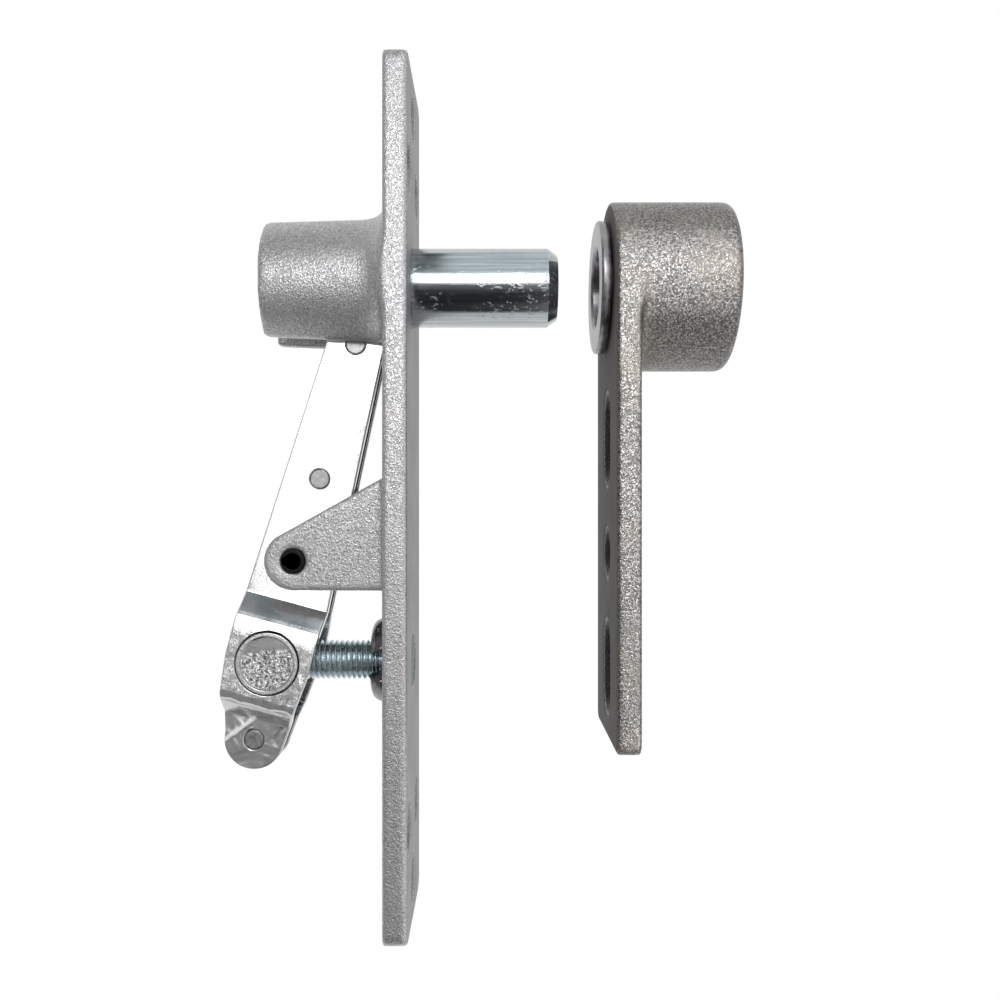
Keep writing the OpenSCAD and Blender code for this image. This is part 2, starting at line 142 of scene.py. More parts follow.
class HingeColours(bpy.types.PropertyGroup):
    """Base colours of the finishes."""

    frame_cast: tone("Frame casting", "Blasted grey casting", (0.505, 0.494, 0.505))
    door_cast: tone("Door casting", "Rough casting, darker and warmer", (0.33, 0.315, 0.306))
    pin: tone("Pin steel", "Ground steel of the pivot pin", (0.48, 0.50, 0.51))
    zinc: tone("Bright zinc", "Plated beam plates, rivets and nut", (0.80, 0.80, 0.81))
    dark: tone("Dark steel", "Polished dark steel of ring and bushing", (0.27, 0.26, 0.27))
    black: tone("Spring pin", "Blackened spring steel", (0.018, 0.017, 0.018))
    screw: tone("Screw zinc", "Blue zinc of the adjusting screw", (0.52, 0.60, 0.63))


class HingeStage(bpy.types.PropertyGroup):
    """The camera's place and the light's level."""

    distance: length("Camera distance", "From the pivot axis to the lens", 0.195, 0.15, 0.4)
    scale: FloatProperty(
        name="Scale",
        description="Picture points per millimetre at the pivot axis",
        default=4.872,
        min=4,
        max=6,
    )
    key: FloatProperty(
        name="Key light",
        description="Power of the soft light beside the camera",
        default=1.9,
        min=0,
        unit="POWER",
    )
    fill: FloatProperty(
        name="Fill light",
        description="Power of the soft light above",
        default=1.1,
        min=0,
        unit="POWER",
    )
    side: FloatProperty(
        name="Side light",
        description="Power of the soft light on the door leaf's side",
        default=0.8,
        min=0,
        unit="POWER",
    )
    room: FloatProperty(
        name="Room light", description="Level of the light all round", default=0.26, min=0, max=1
    )
    dim: FloatProperty(
        name="Dim side",
        description="Level of the room in front that metal reflects",
        default=0.3,
        min=0,
        max=1,
    )
    segments: IntProperty(
        name="Thread segments", description="Faces round the thread", default=64, min=24, max=96
    )


class Finish:
    """Builds one material; each call adds a node and gives back its output."""

    def __init__(self, name):
        self.material = bpy.data.materials.new(name)
        self.material.use_nodes = True
        self.tree = self.material.node_tree
        self.tree.nodes.clear()
        end = self.tree.nodes.new("ShaderNodeOutputMaterial")
        self.surface = self.tree.nodes.new("ShaderNodeBsdfPrincipled")
        self.tree.links.new(self.surface.outputs[0], end.inputs[0])
        place = self.tree.nodes.new("ShaderNodeTexCoord")
        self.place = place.outputs["Object"]
        self.normal = place.outputs["Normal"]
        self.surface.inputs["Metallic"].default_value = 1

    def put(self, socket, value):
        if isinstance(value, bpy.types.NodeSocket):
            self.tree.links.new(value, socket)
        else:
            socket.default_value = value

    def set(self, **values):
        names = {"colour": "Base Color", "rough": "Roughness", "metal": "Metallic", "bump": "Normal"}
        for name, value in values.items():
            if name == "colour" and not isinstance(value, bpy.types.NodeSocket):
                value = (*value[:3], 1)
            self.put(self.surface.inputs[names[name]], value)
        return self.material

    def add(self, kind, inputs, output=0, **settings):
        node = self.tree.nodes.new(kind)
        for name, value in settings.items():
            setattr(node, name, value)
        for name, value in inputs.items():
            self.put(node.inputs[name], value)
        return node.outputs[output]

    def stretched(self, stretch):
        return self.add(
            "ShaderNodeVectorMath", {0: self.place, 1: stretch}, operation="MULTIPLY"
        )

    def noise(self, scale, detail=2.0, rough=0.5, stretch=None, bend=0.0):
        place = self.stretched(stretch) if stretch else self.place
        values = {
            "Vector": place,
            "Scale": scale,
            "Detail": detail,
            "Roughness": rough,
            "Distortion": bend,
        }
        return self.add("ShaderNodeTexNoise", values)

    def cells(self, scale, stretch=None, feature="F1"):
        place = self.stretched(stretch) if stretch else self.place
        return self.add("ShaderNodeTexVoronoi", {"Vector": place, "Scale": scale}, feature=feature)

    def math(self, kind, a, b=0.0, c=0.0, clamp=False):
        return self.add(
            "ShaderNodeMath", {0: a, 1: b, 2: c}, operation=kind, use_clamp=clamp
        )

    def span(self, value, low, high, to_low=0.0, to_high=1.0):
        values = {
            "Value": value,
            "From Min": low,
            "From Max": high,
            "To Min": to_low,
            "To Max": to_high,
        }
        return self.add("ShaderNodeMapRange", values, interpolation_type="SMOOTHSTEP")

    def mix(self, share, a, b):
        """Mixes two colours."""
        values = {"Factor": share, 6: a, 7: b}
        for key in (6, 7):
            if not isinstance(values[key], bpy.types.NodeSocket):
                values[key] = (*values[key][:3], 1)
        return self.add("ShaderNodeMix", values, output=2, data_type="RGBA")

    def blend(self, share, a, b):
        """Mixes two numbers."""
        return self.add("ShaderNodeMix", {"Factor": share, 2: a, 3: b}, output=0)

    def bump(self, height, depth, strength=1.0, under=None):
        values = {"Height": height, "Distance": depth, "Strength": strength}
        if under is not None:
            values["Normal"] = under
        return self.add("ShaderNodeBump", values)

    def part(self, vector, axis):
        """One component of a vector."""
        return self.add("ShaderNodeSeparateXYZ", {0: vector}, output="XYZ".index(axis))

    def along(self, origin, direction):
        """Distance of each point from a plane, given by a point and a direction."""
        flat = self.add(
            "ShaderNodeVectorMath", {0: self.place, 1: tuple(direction)}, 1, operation="DOT_PRODUCT"
        )
        return self.math("SUBTRACT", flat, origin.dot(direction))


def darker(colour, share):
    return tuple(channel * share for channel in colour[:3])


class CastLook(NamedTuple):
    """What sets one blasted casting's look apart from the other's."""

    warm: tuple  # colour of the warmer patches
    dark: tuple  # colour of the darker patches
    face_z: float  # where the machined face lies
    face_side: int  # 1 when that face looks up, -1 when it looks down
    grain: float  # depth of the grain
    contrast: float  # how far the grain's light and dark spots lie apart
    shine: float  # roughness of the bright spots
    wear_and_sheen: float  # how much lighter the sides facing along Y are, and darker the rest: a painted highlight
    face_tone: float  # tone of the machined face
    face_rough: float  # roughness of the machined face
    stain: float  # strength of the darker patches
    painted_hole_shade: float  # strength of the painted shade on the walls of the face's openings
    openings: tuple  # middle and half length, along X, of the part with openings


def opening_walls(f, look):
    """Share, 0 to 1, of the walls inside a leaf's slots and holes."""
    middle, half = look.openings
    inner = f.span(f.math("ABSOLUTE", f.part(f.place, "Y")), 0.0147, 0.0142)
    reach = f.math("ABSOLUTE", f.math("SUBTRACT", f.part(f.place, "X"), middle))
    upright = f.span(f.math("ABSOLUTE", f.part(f.normal, "Z")), 0.9, 0.75)
    inner = f.math("MULTIPLY", inner, f.span(reach, half + 0.0005, half))
    under = f.math("SUBTRACT", f.part(f.place, "Z"), look.face_z - look.face_side * LEAF_T / 2)
    under = f.span(f.math("ABSOLUTE", under), LEAF_T / 2, LEAF_T / 2 - 0.0003)
    inner = f.math("MULTIPLY", inner, under)
    return f.math("MULTIPLY", inner, upright)


def cast_finish(name, colour, look):
    """Blasted casting with a smoother machined face."""
    f = Finish(name)
    warm, dark, face_z, face_side = look.warm, look.dark, look.face_z, look.face_side
    grain, contrast, shine, wear_and_sheen = look.grain, look.contrast, look.shine, look.wear_and_sheen
    face_tone, face_rough = look.face_tone, look.face_rough
    f.surface.inputs["Metallic"].default_value = 0.85
    fine = f.noise(2300, 1.0, 0.5, bend=0.7)
    pits = f.noise(3400, 1.0, 0.5, bend=0.3)
    patches = f.noise(75, 3.0, 0.6)
    face = f.span(f.math("MULTIPLY", f.part(f.normal, "Z"), face_side), 0.85, 0.97)
    level = f.span(
        f.math("ABSOLUTE", f.math("SUBTRACT", f.part(f.place, "Z"), face_z)), 0.0012, 0.0003
    )
    face = f.math("MULTIPLY", face, level)
    height = f.math("ADD", f.math("MULTIPLY", fine, 0.75), f.math("MULTIPLY", pits, 0.25))
    speckle = f.span(height, 0.40, 0.62)
    depth = f.blend(face, grain, grain * 0.05)
    shade = f.mix(speckle, darker(colour, 1 - contrast), darker(colour, 1 + contrast))
    shade = f.mix(f.span(pits, 0.60, 0.66), shade, darker(colour, 0.5))
    shade = f.mix(f.span(patches, 0.45, 0.70), shade, f.mix(0.4, shade, warm))
    shade = f.mix(f.span(f.noise(38, 2.0, 0.5), 0.54, 0.70), shade, f.mix(look.stain, shade, dark))
    # Painted highlight: surfaces facing along Y, the leaf's narrow sides and the boss's middle band, are
    # made lighter and the others darker.
    side = f.span(f.math("ABSOLUTE", f.part(f.normal, "Y")), 0.80, 0.99, 1 - wear_and_sheen, 1 + wear_and_sheen)
    shade = f.add("ShaderNodeVectorMath", {0: shade, "Scale": side}, operation="SCALE")
    smooth = f.noise(900, 2.0, 0.5)
    smooth = f.mix(smooth, darker(colour, face_tone), darker(colour, face_tone * 1.15))
    shade = f.mix(face, shade, smooth)
    # Painted shade: the walls inside the leaf's slots and holes are darkened.
    painted_hole_shade = f.math("MULTIPLY", opening_walls(f, look), look.painted_hole_shade)
    shade = f.mix(painted_hole_shade, shade, darker(colour, 0.1))
    rough = f.blend(face, f.span(speckle, 0.0, 1.0, shine + 0.12, shine), f.span(patches, 0.3, 0.7, face_rough, face_rough + 0.08))
    return f.set(colour=shade, rough=rough, bump=f.bump(height, depth, 1.0))


def pin_finish(colour):
    """Ground steel with long streaks and scuffs along the pin."""
    f = Finish("pin ground steel")
    streaks = f.noise(2200, 2.0, 0.6, (1, 1, 0.02))
    bands = f.noise(520, 2.0, 0.5, (1, 1, 0.015))
    scuffs = f.span(f.noise(1500, 3.0, 0.7, (1, 1, 0.5)), 0.58, 0.64)
    wear_and_sheen = f.span(f.noise(150, 2.0, 0.5, (1, 1, 0.4)), 0.42, 0.58)
    scuffs = f.math("MULTIPLY", scuffs, wear_and_sheen)
    height = f.math("ADD", f.math("MULTIPLY", streaks, 0.5), f.math("MULTIPLY", scuffs, 0.7))
    shade = f.mix(f.span(streaks, 0.35, 0.65), darker(colour, 0.78), darker(colour, 1.12))
    shade = f.mix(f.span(bands, 0.42, 0.60), shade, f.mix(0.5, shade, (0.36, 0.41, 0.43)))
    rough = f.blend(scuffs, f.span(bands, 0.3, 0.7, 0.11, 0.19), 0.40)
    return f.set(colour=shade, rough=rough, bump=f.bump(height, 0.00002, 0.9))


def beam_finish(name, colour):
    """Bright zinc, smooth on the straight part, mottled and dented towards the tail."""
    f = Finish(name)
    back = f.math("MULTIPLY", f.along(FULCRUM, ALONG_BEAM), -1)
    worked = f.span(back, 0.013, 0.019)
    tail = f.span(back, 0.028, 0.0295)
    mottle = f.noise(620, 4.0, 0.7, bend=1.6)
    dents = f.noise(150, 2.0, 0.55, bend=0.6)
    drawn = f.noise(300, 2.0, 0.5)
    fine = f.noise(2600, 2.0, 0.5)
    shade = f.mix(f.span(mottle, 0.36, 0.60), darker(colour, 0.62), colour)
    shade = f.mix(f.math("MULTIPLY", worked, 0.8), colour, shade)
    shade = f.mix(tail, shade, darker(colour, 0.74))
    # Painted highlights: the slanted ridge and the crease lines on the tail are painted white, with less
    # metal so that they show bright.
    streaks = f.math("MAXIMUM", tail_ridge(f), tail_crease(f, back))
    shade = f.mix(streaks, shade, (1, 1, 1))
    metal = f.span(streaks, 0.2, 0.9, 1.0, 0.25)
    # Painted shade: a dark ring on the plate round the nut, where the gap between nut and plate is.
    shade = f.mix(f.span(from_nut(f), 0.00655, 0.0063), shade, darker(colour, 0.12))
    smooth = f.span(drawn, 0.3, 0.7, 0.12, 0.20)
    rough = f.blend(worked, smooth, f.span(mottle, 0.4, 0.6, 0.34, 0.16))
    rough = f.blend(tail, rough, 0.2)
    height = f.math("MULTIPLY", mottle, f.blend(tail, 0.16, 0.015))
    height = f.math("ADD", height, f.math("MULTIPLY", dents, f.blend(tail, 1.0, 0.6)))
    height = f.math("ADD", height, f.math("MULTIPLY", streaks, 0.1))
    depth = f.blend(worked, 0.00003, 0.0005)
    under = f.bump(height, depth, 1.0)
    depth = f.blend(tail, 0.00001, 0.000002)
    return f.set(colour=shade, rough=rough, metal=metal, bump=f.bump(fine, depth, 0.6, under))


def from_nut(f):
    """Distance of each point from the round nut's axis."""
    up, across = f.along(NUT, ALONG_BEAM), f.along(NUT, ACROSS_BEAM)
    return f.math("SQRT", f.math("ADD", f.math("MULTIPLY", up, up), f.math("MULTIPLY", across, across)))


def tail_ridge(f):
    """A pressed ridge that runs slantwise over the tail, as a height; the beam's finish also paints it white
    as a painted highlight.
    """
    centre = Vector((-0.0892, 0, 0.0345))
    slant = Vector((0.577, 0, -0.817))
    across = Vector((0.817, 0, 0.577))
    bend = f.math("MULTIPLY", f.math("SUBTRACT", f.noise(420, 1.0, 0.5), 0.5), 0.0008)
    line = f.math("ADD", f.along(centre, across), bend)
    line = f.span(f.math("ABSOLUTE", line), 0.0, 0.0009, 1, 0)
    reach = f.span(f.math("ABSOLUTE", f.along(centre, slant)), 0.0034, 0.0052, 1, 0)
    return f.math("MULTIPLY", line, reach)


def tail_crease(f, back):
    """Painted highlights along the lines where the pressed plate bends into the tail, as a share of 0 to 1.
    """
    wander = f.math("MULTIPLY", f.math("SUBTRACT", f.noise(260, 2.0, 0.6), 0.5), 0.0012)
    place = f.math("ADD", back, wander)
    first = f.span(f.math("ABSOLUTE", f.math("SUBTRACT", place, 0.0296)), 0.0, 0.00032, 1, 0)
    second = f.span(f.math("ABSOLUTE", f.math("SUBTRACT", place, 0.0306)), 0.0, 0.00022, 1, 0)
    broken = f.span(f.noise(330, 2.0, 0.6), 0.42, 0.52)
    return f.math("MAXIMUM", first, f.math("MULTIPLY", second, broken))


def plain_zinc(name, colour, rough=0.28, spots=0.5):
    """Bright zinc for small turned pieces."""
    f = Finish(name)
    mottle = f.noise(900, 3.0, 0.65)
    shade = f.mix(f.span(mottle, 0.35, 0.65), darker(colour, 1 - 0.4 * spots), colour)
    return f.set(
        colour=shade,
        rough=f.span(mottle, 0.3, 0.7, rough, rough + 0.15),
        bump=f.bump(mottle, 0.00005, spots),
    )


def nut_finish(colour):
    """Rough bright end with a smoother segment, turned flanks, and a ring of painted shade at the rim."""
    f = Finish("nut zinc")
    facing = f.span(f.math("ABSOLUTE", f.part(f.normal, "Y")), 0.8, 0.95)
    reach = from_nut(f)
    inside = f.span(reach, 0.0053, 0.0050)
    cut = (ALONG_BEAM * 0.93 + ACROSS_BEAM * 0.36).normalized()
    wander = f.math("MULTIPLY", f.math("SUBTRACT", f.noise(500, 2.0, 0.6), 0.5), 0.0022)
    edge = f.math("ADD", f.along(NUT + cut * 0.0024, cut), wander)
    rough_part = f.span(edge, 0.0001, -0.0002)
    crushed = f.math("MULTIPLY", f.math("MULTIPLY", facing, inside), rough_part)
    shards = f.noise(1500, 3.0, 0.7, bend=0.8)
    soft = f.noise(700, 2.0, 0.5)
    shade = f.mix(f.span(shards, 0.40, 0.56), darker(colour, 0.30), darker(colour, 1.15))
    plain = f.mix(soft, darker(colour, 0.66), darker(colour, 0.86))
    flat = f.mix(soft, darker(colour, 0.34), darker(colour, 0.46))
    plain = f.mix(f.math("MULTIPLY", facing, inside), plain, flat)
    shade = f.mix(crushed, plain, shade)
    # Painted shade: a dark ring at the nut's rim, in the gap to the plate.
    shade = f.mix(f.span(reach, 0.00605, 0.00615), shade, darker(colour, 0.15))
    depth = f.blend(crushed, 0.00003, 0.0005)
    rough = f.blend(crushed, 0.24, 0.22)
    return f.set(colour=shade, rough=rough, bump=f.bump(shards, depth, 1.0))


def dark_finish(name, colour, rough, stretch=None):
    """Dark polished steel with faint turning marks."""
    f = Finish(name)
    marks = f.noise(2200, 2.0, 0.6, stretch)
    haze = f.noise(240, 3.0, 0.6)
    shade = f.mix(f.span(haze, 0.35, 0.7), darker(colour, 0.8), darker(colour, 1.35))
    return f.set(
        colour=shade,
        rough=f.span(haze, 0.3, 0.7, rough, rough + 0.12),
        bump=f.bump(marks, 0.00002, 0.6),
    )


def screw_finish(colour):
    """Blue-green zinc, brighter on the crests; the head gets painted shade where it sits in the leaf's
    recess.
    """
    f = Finish("screw blue zinc")
    haze = f.noise(800, 3.0, 0.6)
    shade = f.mix(f.span(haze, 0.3, 0.7), darker(colour, 0.75), darker(colour, 1.2))
    # Painted shade: the head, down in the leaf's recess, is darkened and made rougher.
    head = f.span(f.part(f.place, "Z"), 0.0012, 0.0006)
    shade = f.mix(head, shade, darker(colour, 0.35))
    rough = f.blend(head, f.span(haze, 0.3, 0.7, 0.18, 0.34), 0.6)
    return f.set(colour=shade, rough=rough, bump=f.bump(haze, 0.00002, 0.6))


def dress(node, material):
    """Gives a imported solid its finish."""
    slots = frame["nodes"][node].data.materials
    slots.clear()
    slots.append(material)
    return frame["nodes"][node]


def soften(node, width, segments=2, angle=32):
    """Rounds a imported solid's sharp edges with modifiers; its own mesh stays as it is."""
    solid = frame["nodes"][node]
    weld = solid.modifiers.new("join", "WELD")
    weld.merge_threshold = 1e-6
    flat = solid.modifiers.new("flats", "DECIMATE")
    flat.decimate_type = "DISSOLVE"
    flat.angle_limit = math.radians(0.6)
    round_off = solid.modifiers.new("edges", "BEVEL")
    round_off.width = width
    round_off.segments = segments
    round_off.limit_method = "ANGLE"
    round_off.angle_limit = math.radians(angle)
    round_off.harden_normals = True
    round_off.use_clamp_overlap = False
    return solid


def cast_skin(node, name, step, material):
    """A casting's own form, remeshed with the soft edges and corners that a mould leaves."""
    solid = frame["nodes"][node]
    rough_form = bpy.data.objects.new("form", solid.data.copy())
    bpy.context.scene.collection.objects.link(rough_form)
    weld = rough_form.modifiers.new("join", "WELD")
    weld.merge_threshold = 1e-6
    remesh = rough_form.modifiers.new("skin", "REMESH")
    remesh.mode = "VOXEL"
    remesh.voxel_size = step
    remesh.use_smooth_shade = True
    soften_all = rough_form.modifiers.new("soft", "SMOOTH")
    soften_all.factor = 0.5
    soften_all.iterations = 5
    graph = bpy.context.evaluated_depsgraph_get()
    data = bpy.data.meshes.new_from_object(rough_form.evaluated_get(graph))
    bpy.data.objects.remove(rough_form)
    data.materials.clear()
    data.materials.append(material)
    made = bpy.data.objects.new(name, data)
    bpy.context.scene.collection.objects.link(made)
    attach(made, solid["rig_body"])
    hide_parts(node)
    return made


def mesh_object(name, form, material):
    """Makes a scene object of a bmesh."""
    data = bpy.data.meshes.new(name)
    form.to_mesh(data)
    form.free()
    data.materials.append(material)
    made = bpy.data.objects.new(name, data)
    bpy.context.scene.collection.objects.link(made)
    return made


def ring_of(form, radius, z, segments, centre=(0, 0)):
    """A ring of points round a vertical axis."""
    return [
        form.verts.new(
            (
                centre[0] + radius * math.cos(2 * math.pi * i / segments),
                centre[1] + radius * math.sin(2 * math.pi * i / segments),
                z,
            )
        )
        for i in range(segments)
    ]


def join_rings(form, low, high):
    """Faces between two rings of as many points."""
    count = len(low)
    for i in range(count):
        j = (i + 1) % count
        face = form.faces.new((low[i], low[j], high[j], high[i]))
        face.smooth = True


class HINGE_OT_frame_leaf(bpy.types.Operator):
    """Finish the frame leaf's casting"""

    bl_idname = "hinge.frame_leaf"
    bl_label = "Frame Leaf"

    def execute(self, context):
        sizes, colours = context.scene.hinge_sizes, context.scene.hinge_colours
        look = CastLook(
            warm=(0.56, 0.54, 0.53),
            dark=(0.43, 0.43, 0.44),
            face_z=0.0,
            face_side=-1,
            grain=sizes.grain,
            contrast=0.21,
            shine=0.34,
            wear_and_sheen=0.04,
            face_tone=0.50,
            face_rough=0.46,
            stain=0.4,
            painted_hole_shade=0.45,
            openings=(-0.043, 0.0845),
        )
        finish = cast_finish("frame blasted casting", colours.frame_cast, look)
        skin = cast_skin("frame_casting", "frame_leaf_casting", sizes.skin, finish)
        return {"FINISHED"}


class HINGE_OT_pivot_pin(bpy.types.Operator):
    """Finish the pivot pin and its cross pin"""

    bl_idname = "hinge.pivot_pin"
    bl_label = "Pivot Pin"

    def execute(self, context):
        colours = context.scene.hinge_colours
        dress("pivot_pin", pin_finish(colours.pin))
        dress("pin_cross_pin", plain_zinc("cross pin steel", colours.pin, 0.24, 0.3))
        return {"FINISHED"}


class HINGE_OT_rocking_beam(bpy.types.Operator):
    """Finish the two beam plates and their rivets"""

    bl_idname = "hinge.rocking_beam"
    bl_label = "Rocking Beam"

    def execute(self, context):
        sizes, colours = context.scene.hinge_sizes, context.scene.hinge_colours
        finish = beam_finish("beam bright zinc", colours.zinc)
        for node in ("beam_plate_near", "beam_plate_far"):
            dress(node, finish)
            soften(node, sizes.sheet_edge, 2, 24)
        rivet = plain_zinc("rivet zinc", darker(colours.zinc, 0.5), 0.26, 0.8)
        for node in ("beam_rivet_top", "beam_rivet_middle", "beam_rivet_tail"):
            dress(node, rivet)
            soften(node, sizes.machined_edge)
        return {"FINISHED"}


class HINGE_OT_fulcrum_pin(bpy.types.Operator):
    """Finish the hollow spring pin in the ears"""

    bl_idname = "hinge.fulcrum_pin"
    bl_label = "Fulcrum Pin"

    def execute(self, context):
        dress("fulcrum_pin", dark_finish("black spring steel", context.scene.hinge_colours.black, 0.32))
        soften("fulcrum_pin", context.scene.hinge_sizes.machined_edge)
        return {"FINISHED"}


class HINGE_OT_trunnion_nut(bpy.types.Operator):
    """Finish the round nut"""

    bl_idname = "hinge.trunnion_nut"
    bl_label = "Round Nut"

    def execute(self, context):
        dress("trunnion_nut", nut_finish(context.scene.hinge_colours.zinc))
        soften("trunnion_nut", context.scene.hinge_sizes.machined_edge)
        return {"FINISHED"}


def thread_radius(turns, root, crest):
    """Radius of the thread at a point, from its place in a turn, 0 to 1."""
    share = turns % 1.0
    rise = min(max((share - 0.06) / 0.38, 0), 1) - min(max((share - 0.56) / 0.38, 0), 1)
    return root + (crest - root) * rise


class HINGE_OT_adjusting_screw(bpy.types.Operator):
    """Build the adjusting screw with its thread, neck and head"""

    bl_idname = "hinge.adjusting_screw"
    bl_label = "Adjusting Screw"

    def execute(self, context):
        sizes, stage = context.scene.hinge_sizes, context.scene.hinge_stage
        low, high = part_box("adjusting_screw")
        form = bmesh.new()
        segments = stage.segments
        centre = (SCREW_X, 0)
        head_r = (high.x - low.x) / 2
        start = PLATE_TOP + sizes.neck_len
        profile = [
            (head_r - 0.0004, low.z),
            (head_r, low.z + 0.0004),
            (head_r, low.z + 0.0021),
            (head_r - 0.0003, low.z + 0.0024),
            (sizes.thread_r, low.z + 0.0024),
            (sizes.thread_r, PLATE_TOP),
            (sizes.thread_r - 0.0002, PLATE_TOP + 0.00015),
            (sizes.neck_r, PLATE_TOP + 0.00015),
            (sizes.neck_r, start - 0.0001),
        ]
        rings = [ring_of(form, r, z, segments, centre) for r, z in profile]
        steps = 12
        rows = int((high.z - start) / sizes.pitch * steps)
        for row in range(rows + 1):
            z = start + (high.z - start) * row / rows
            fade = min(1, row / steps, (rows - row) / steps)
            ring = []
            for i in range(segments):
                turn = i / segments
                radius = thread_radius((z - start) / sizes.pitch - turn, sizes.root_r, sizes.thread_r)
                radius = min(radius, sizes.root_r - 0.0005 + fade * (sizes.thread_r - sizes.root_r + 0.0005))
                angle = 2 * math.pi * turn
                ring.append(
                    form.verts.new((SCREW_X + radius * math.cos(angle), radius * math.sin(angle), z))
                )
            rings.append(ring)
        for below, above in zip(rings, rings[1:]):
            join_rings(form, below, above)
        form.faces.new(list(reversed(rings[0])))
        form.faces.new(rings[-1])
        screw = mesh_object("threaded_screw", form, screw_finish(context.scene.hinge_colours.screw))
        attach(screw, "screw")
        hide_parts("adjusting_screw")
        return {"FINISHED"}


class HINGE_OT_retaining_ring(bpy.types.Operator):
    """Build the domed ring that is pushed onto the screw's neck, open on one side"""

    bl_idname = "hinge.retaining_ring"
    bl_label = "Retaining Ring"

    def execute(self, context):
        sizes, stage = context.scene.hinge_sizes, context.scene.hinge_stage
        low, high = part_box("screw_retaining_ring")
        outer = (high.x - low.x) / 2
        inner = sizes.neck_r + 0.00001
        dome_in = sizes.thread_r + 0.0004
        half = (outer - dome_in) / 2
        steps = 14
        profile = [(inner, low.z + 0.0012), (inner, low.z)]
        for i in range(steps + 1):
            angle = math.pi * i / steps
            profile.append(
                (dome_in + half + half * math.cos(angle), low.z + sizes.dome * math.sin(angle) ** 0.8)
            )
        profile[-1] = (dome_in, low.z + 0.0012)
        mouth = math.asin(sizes.neck_r * 0.92 / outer)
        first, last = -math.pi / 2 + mouth, 1.5 * math.pi - mouth
        count = stage.segments
        form = bmesh.new()
        slices = []
        for i in range(count + 1):
            angle = first + (last - first) * i / count
            turn = (math.cos(angle), math.sin(angle))
            slices.append(
                [form.verts.new((SCREW_X + r * turn[0], r * turn[1], z)) for r, z in profile]
            )
        for one, other in zip(slices, slices[1:]):
            join_rings(form, other, one)
        form.faces.new(slices[0])
        form.faces.new(list(reversed(slices[-1])))
        bmesh.ops.recalc_face_normals(form, faces=form.faces)
        colour = darker(context.scene.hinge_colours.dark, 0.75)
        ring = mesh_object("domed_ring", form, dark_finish("ring steel", colour, 0.16))
        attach(ring, "screw")
        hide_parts("screw_retaining_ring")
        return {"FINISHED"}


class HINGE_OT_door_leaf(bpy.types.Operator):
    """Finish the door leaf's casting"""

    bl_idname = "hinge.door_leaf"
    bl_label = "Door Leaf"

    def execute(self, context):
        sizes, colours = context.scene.hinge_sizes, context.scene.hinge_colours
        low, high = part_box("door_casting")
        look = CastLook(
            warm=(0.46, 0.40, 0.34),
            dark=(0.20, 0.22, 0.21),
            face_z=high.z,
            face_side=1,
            grain=sizes.grain * 1.5,
            contrast=0.55,
            shine=0.25,
            wear_and_sheen=0.36,
            face_tone=0.50,
            face_rough=0.85,
            stain=0.7,
            painted_hole_shade=0.85,
            openings=(-0.0545, 0.034),
        )
        finish = cast_finish("door rough casting", colours.door_cast, look)
        skin = cast_skin("door_casting", "door_leaf_casting", sizes.skin, finish)
        return {"FINISHED"}


class HINGE_OT_bushing(bpy.types.Operator):
    """Finish the flanged bushing"""

    bl_idname = "hinge.bushing"
    bl_label = "Bushing"

    def execute(self, context):
        dress("door_bushing", dark_finish("bushing steel", context.scene.hinge_colours.dark, 0.26))
        soften("door_bushing", context.scene.hinge_sizes.machined_edge / 2)
        return {"FINISHED"}


def area_lamp(name, place, target, size, power, colour=(1, 1, 1)):
    """A soft rectangular lamp that points at a place."""
    data = bpy.data.lights.new(name, "AREA")
    data.shape = "RECTANGLE"
    data.size, data.size_y = size
    data.energy = power
    data.color = colour
    lamp = bpy.data.objects.new(name, data)
    bpy.context.scene.collection.objects.link(lamp)
    lamp.location = place
    lamp.rotation_mode = "QUATERNION"
    lamp.rotation_quaternion = (Vector(target) - Vector(place)).to_track_quat("-Z", "X")
    return lamp


def white_to_the_eye(tree):
    """A switch that is 1 for what the camera, gloss and glass see."""
    rays = tree.nodes.new("ShaderNodeLightPath")
    seen = rays.outputs["Is Camera Ray"]
    for name in ("Is Glossy Ray", "Is Transmission Ray"):
        both = tree.nodes.new("ShaderNodeMath")
        both.operation = "MAXIMUM"
        tree.links.new(seen, both.inputs[0])
        tree.links.new(rays.outputs[name], both.inputs[1])
        seen = both.outputs[0]
    return seen


def floor_finish():
    """Pale floor: white to the camera, to gloss and to glass; other rays see it as a pale diffuse floor."""
    material = bpy.data.materials.new("pale floor")
    material.use_nodes = True
    tree = material.node_tree
    tree.nodes.clear()
    end = tree.nodes.new("ShaderNodeOutputMaterial")
    lit = tree.nodes.new("ShaderNodeBsdfDiffuse")
    lit.inputs["Color"].default_value = (0.9, 0.9, 0.9, 1)
    white = tree.nodes.new("ShaderNodeEmission")
    both = tree.nodes.new("ShaderNodeMixShader")
    tree.links.new(white_to_the_eye(tree), both.inputs[0])
    tree.links.new(lit.outputs[0], both.inputs[1])
    tree.links.new(white.outputs[0], both.inputs[2])
    tree.links.new(both.outputs[0], end.inputs[0])
    return material


def card(name, centre, facing, width, height, colour, glow=0.0):
    """A card that metal reflects and the camera doesn't see."""
    form = bmesh.new()
    bmesh.ops.create_grid(form, x_segments=2, y_segments=2, size=0.5)
    material = bpy.data.materials.new(name)
    material.use_nodes = True
    surface = material.node_tree.nodes["Principled BSDF"]
    surface.inputs["Base Color"].default_value = (*colour, 1)
    surface.inputs["Roughness"].default_value = 0.9
    surface.inputs["Emission Color"].default_value = (*colour, 1)
    surface.inputs["Emission Strength"].default_value = glow
    made = mesh_object(name, form, material)
    turn = (Vector(facing) - Vector(centre)).to_track_quat("Z", "X").to_matrix().to_4x4()
    made.matrix_world = Matrix.Translation(centre) @ turn @ Matrix.Diagonal((height, width, 1, 1))
    made.visible_camera = False
    made.visible_diffuse = False
    made.visible_shadow = False
    return made


